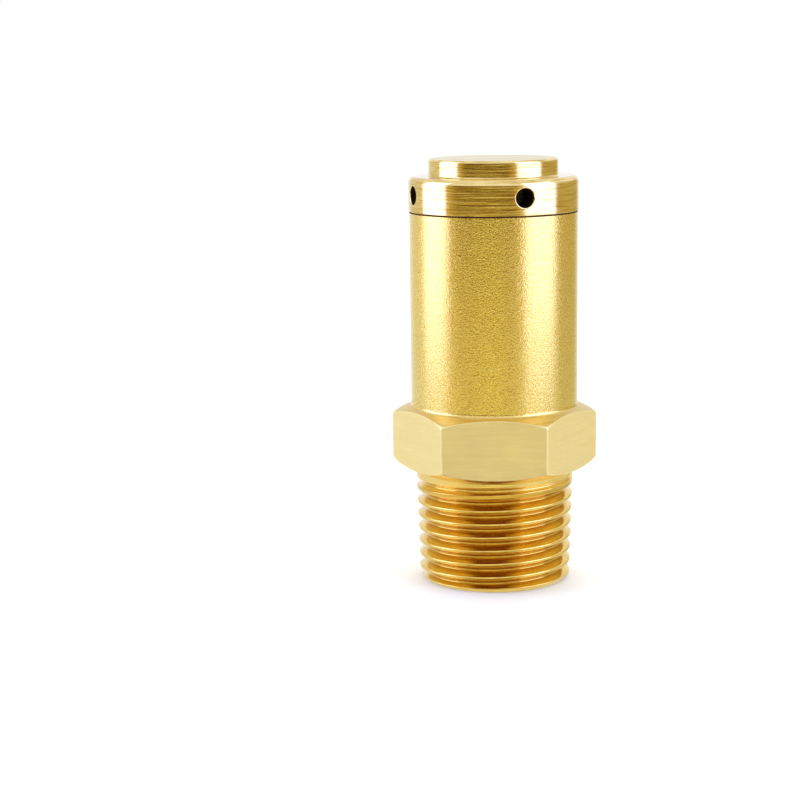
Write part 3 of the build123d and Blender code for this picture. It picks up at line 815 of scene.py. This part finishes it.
# ------------------------------------------------------------------ floor, light, camera
def plane(name, pts, col, rough=0.9):
    mesh = bpy.data.meshes.new(name)
    mesh.from_pydata([tuple(x * MM for x in p) for p in pts], [], [tuple(range(len(pts)))])
    obj = bpy.data.objects.new(name, mesh)
    bpy.context.scene.collection.objects.link(obj)
    m, nt, b = material(name)
    b.inputs["Base Color"].default_value = (*col, 1)
    b.inputs["Roughness"].default_value = rough
    b.inputs["Specular IOR Level"].default_value = 0.1
    mesh.materials.append(m)
    return obj


plane("floor", [(-3000, -175, 0), (3000, -175, 0), (3000, 3500, 0), (-3000, 3500, 0)], (0.93, 0.94, 0.90)).visible_glossy = False


def light(name, kind, power, col=(1, 1, 1)):
    data = bpy.data.lights.new(name, kind)
    data.energy = power
    data.color = col
    obj = bpy.data.objects.new(name, data)
    bpy.context.scene.collection.objects.link(obj)
    obj.visible_camera = False
    return obj


def aim(obj, loc, target):
    obj.location = Vector(loc) * MM
    obj.rotation_euler = (Vector(target) * MM - obj.location).to_track_quat("-Z", "Y").to_euler()


def softbox(name, loc, target, size, radiance, col=(1, 1, 1)):
    w, h = size[0] * MM, size[1] * MM
    obj = light(name, "AREA", radiance * math.pi * w * h, col)
    obj.data.shape = "RECTANGLE"
    obj.data.size, obj.data.size_y = w, h
    aim(obj, loc, target)
    return obj


def polar(az, dist, z):
    """Point at an angle from the camera's side, positive to the right."""
    a = math.radians(-90 + az)
    return (dist * math.cos(a), dist * math.sin(a), z)


softbox("softbox_left", polar(-86, 240, 135), (0, 0, 135), (180, 270), 1.36, (0.97, 1.10, 2.1))
softbox("softbox_right", polar(66, 240, 135), (0, 0, 135), (212, 270), 1.36, (0.97, 1.10, 2.1))
sun = light("overhead", "SUN", 1.45)
sun.data.angle = math.radians(70)
aim(sun, (0, 400, 900), (0, 0, 0))
sun.visible_glossy = False

world = bpy.data.worlds.new("studio")
world.use_nodes = True
wt = world.node_tree
wt.nodes.clear()
w_out = wt.nodes.new("ShaderNodeOutputWorld")
w_bg = wt.nodes.new("ShaderNodeBackground")
wt.links.new(w_bg.outputs[0], w_out.inputs[0])
w_tc = wt.nodes.new("ShaderNodeTexCoord")
w_sep = wt.nodes.new("ShaderNodeSeparateXYZ")
wt.links.new(w_tc.outputs["Generated"], w_sep.inputs[0])
turn = math_node(wt, "ARCTAN2", w_sep.outputs[0], math_node(wt, "MULTIPLY", w_sep.outputs[1], -1.0))
turn = map_range(wt, turn, -math.pi, math.pi, 0.0, 1.0)
def around(stops):
    return ramp(wt, turn, [((a + 180) / 360, c) for a, c in stops])


BACK = (1.0, 1.04, 1.18)
walls = around(((-180, BACK), (-158, BACK), (-146, (0.80, 0.76, 0.62)), (-112, (0.78, 0.70, 0.45)), (-66, (0.60, 0.46, 0.15)), (-56, (0.58, 0.385, 0.030)),
                (30, (0.58, 0.385, 0.030)), (42, (0.60, 0.45, 0.12)), (96, (0.52, 0.40, 0.12)), (148, (0.54, 0.44, 0.16)), (160, BACK), (180, BACK)))
table = around(((-180, BACK), (-158, BACK), (-146, (0.84, 0.85, 0.78)), (-112, (0.80, 0.82, 0.72)), (-66, (0.95, 0.88, 0.55)),
                (0, (1.42, 1.38, 0.66)), (42, (0.92, 0.88, 0.55)), (96, (0.68, 0.66, 0.44)), (148, (0.68, 0.66, 0.44)), (160, BACK), (180, BACK)))
below = around(((-180, (0.85, 0.80, 0.60)), (-140, (0.85, 0.80, 0.60)), (-60, (0.90, 0.78, 0.40)), (-38, (0.20, 0.07, 0.006)),
                (24, (0.20, 0.07, 0.006)), (50, (0.90, 0.78, 0.40)), (140, (0.85, 0.80, 0.60)), (180, (0.85, 0.80, 0.60))))
up = map_range(wt, w_sep.outputs[2], 0.06, 0.34, 0.0, 1.0, True)
room = mix_rgb(wt, up, walls, (0.92, 0.90, 0.84))
dim = math_node(wt, "MULTIPLY", math_node(wt, "MULTIPLY", map_range(wt, w_sep.outputs[2], -0.11, -0.035, 0.0, 1.0, True), map_range(wt, w_sep.outputs[2], 0.06, 0.20, 1.0, 0.0, True)), around(((-180, 0.0), (-60, 0.0), (-50, 1.0), (26, 1.0), (36, 0.0), (180, 0.0))))
room = mix_rgb(wt, dim, room, (0.07, 0.030, 0.002))
room = mix_rgb(wt, map_range(wt, w_sep.outputs[2], -0.10, -0.20, 0.0, 1.0, True), room, table)
room = mix_rgb(wt, map_range(wt, w_sep.outputs[2], -0.245, -0.36, 0.0, 1.0, True), room, below)
path = wt.nodes.new("ShaderNodeLightPath")
seen = mix_rgb(wt, path.outputs["Is Camera Ray"], room, (1.0, 1.0, 1.0))
wt.links.new(seen, w_bg.inputs[0])
bpy.context.scene.world = world

cam_data = bpy.data.cameras.new("camera")
cam_data.sensor_width = 36.0
cam_data.lens = 1980.26 * 36.0 / 800.0
cam_data.clip_start, cam_data.clip_end = 0.01, 50.0
cam = bpy.data.objects.new("camera", cam_data)
bpy.context.scene.collection.objects.link(cam)
yaw, pitch, roll = (math.radians(v) for v in (-2.68, -9.863, -0.691))
f = Vector((math.sin(yaw) * math.cos(pitch), math.cos(yaw) * math.cos(pitch), math.sin(pitch)))
r = Vector((math.cos(yaw), -math.sin(yaw), 0.0))
u = r.cross(f)
r, u = r * math.cos(roll) + u * math.sin(roll), u * math.cos(roll) - r * math.sin(roll)
cam.matrix_world = Matrix(((r.x, u.x, -f.x, -0.38 * MM), (r.y, u.y, -f.y, -265.0 * MM), (r.z, u.z, -f.z, 70.5 * MM), (0, 0, 0, 1)))
bpy.context.scene.camera = cam
bpy.context.scene.view_settings.view_transform = "Standard"
bpy.context.scene.view_settings.look = "None"
bpy.context.scene.view_settings.exposure = 0.0
